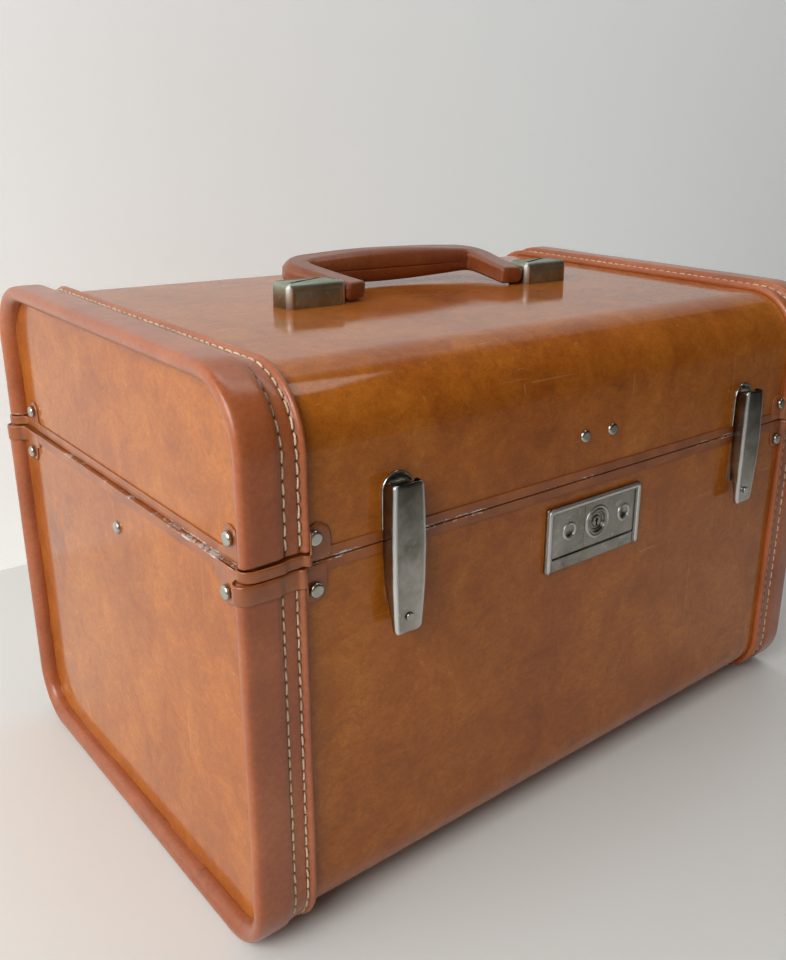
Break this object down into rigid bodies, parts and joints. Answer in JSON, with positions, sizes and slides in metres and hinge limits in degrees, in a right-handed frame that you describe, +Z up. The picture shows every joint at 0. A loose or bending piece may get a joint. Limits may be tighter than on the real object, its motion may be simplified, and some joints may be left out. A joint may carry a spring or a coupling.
{
  "type": "makeup train case",
  "caption": "Rigid box-shaped cosmetic case with a hinged lid, leather-bound ends, folding top handle, two lever latches, a centre lock, a lid mirror and a lift-out tray.",
  "frame": {"origin": "centre of the footprint, on the plane the bound ends stand on", "axes": "+X along the front towards its right end as seen from the front, +Y from the front with the lock to the back with the hinges, +Z up"},
  "size_m": [0.3428, 0.2394, 0.2388],
  "materials": {
    "binding_leather": "reddish brown smooth leather with cream stitching",
    "board": "covered fibreboard",
    "edge_metal": "brown painted edge metal, chipped to bare metal",
    "lining_fabric": "satin lining, warm cream",
    "mirror_glass": "silvered mirror",
    "nickel": "aged bright nickel plate with tarnish specks",
    "panel_covering": "glossy varnished leather-look covering, mottled caramel brown",
    "steel": "plain steel",
    "tray_plastic": "moulded tray, warm cream"
  },
  "bodies": {
    "case_base": {"base_binding_left": "binding_leather", "base_binding_right": "binding_leather", "base_corner_rivets": "nickel", "base_corner_straps": "binding_leather", "base_edge_channel": "edge_metal", "base_end_left": "panel_covering", "base_end_right": "panel_covering", "base_hinge_leaves": "nickel", "base_hinge_rivets": "nickel", "base_lining": "lining_fabric", "base_shell": "panel_covering", "base_tongue": "board", "hinge_pins": "steel", "lock_body": "steel", "lock_plate": "nickel", "lock_screws": "steel", "rail_rivets": "nickel", "strike_plates": "nickel", "strike_rivets": "nickel", "tray_rails": "board"},
    "lid": {"lid_shell": "panel_covering", "lid_end_left": "panel_covering", "lid_end_right": "panel_covering", "lid_binding_left": "binding_leather", "lid_binding_right": "binding_leather", "lid_edge_channel": "edge_metal", "lid_corner_straps": "binding_leather", "lid_corner_rivets": "nickel", "lid_lining": "lining_fabric", "mirror": "mirror_glass", "mirror_frame": "nickel", "hasp": "steel", "hasp_rivets": "nickel", "latch_plates": "nickel", "latch_plate_rivets": "nickel", "latch_pins": "steel", "latch_springs": "steel", "lid_hinge_leaves": "nickel", "lid_hinge_rivets": "nickel", "handle_bracket_left": "nickel", "handle_bracket_right": "nickel", "handle_bearings": "steel", "bearing_rivets": "steel"},
    "latch_left": {"latch_lever_left": "nickel", "latch_hook_left": "steel", "latch_rivet_left": "nickel"},
    "latch_right": {"latch_lever_right": "nickel", "latch_hook_right": "steel", "latch_rivet_right": "nickel"},
    "lock_slider": {"lock_slide": "nickel", "lock_bolt": "steel"},
    "key": {"key_cylinder": "nickel"},
    "handle": {"handle_grip": "binding_leather", "handle_pins": "steel"},
    "tray_body": {"tray": "tray_plastic"}
  },
  "joints": [
    {"name": "lid_hinge", "type": "hinge", "parent": "case_base", "child": "lid", "pos_m": [0, 0.117, 0.1565], "axis": [-1, 0, 0], "range_deg": [0, 100]},
    {"name": "latch_left_hinge", "type": "hinge", "parent": "lid", "child": "latch_left", "pos_m": [-0.107, -0.1158, 0.1759], "axis": [-1, 0, 0], "range_deg": [0, 95]},
    {"name": "latch_right_hinge", "type": "hinge", "parent": "lid", "child": "latch_right", "pos_m": [0.107, -0.1158, 0.1759], "axis": [-1, 0, 0], "range_deg": [0, 95]},
    {"name": "lock_slide_travel", "type": "slide", "parent": "case_base", "child": "lock_slider", "axis": [1, 0, 0], "range_m": [0, 0.0022]},
    {"name": "key_turn", "type": "hinge", "parent": "lock_slider", "child": "key", "pos_m": [0.0015, -0.112, 0.1352], "axis": [0, 1, 0], "range_deg": [0, 90]},
    {"name": "handle_swing", "type": "hinge", "parent": "lid", "child": "handle", "pos_m": [0, 0, 0.226], "axis": [1, 0, 0], "range_deg": [0, 161]},
    {"name": "tray_lift", "type": "slide", "parent": "case_base", "child": "tray_body", "axis": [0, 0, 1], "range_m": [0, 0.06]}
  ]
}
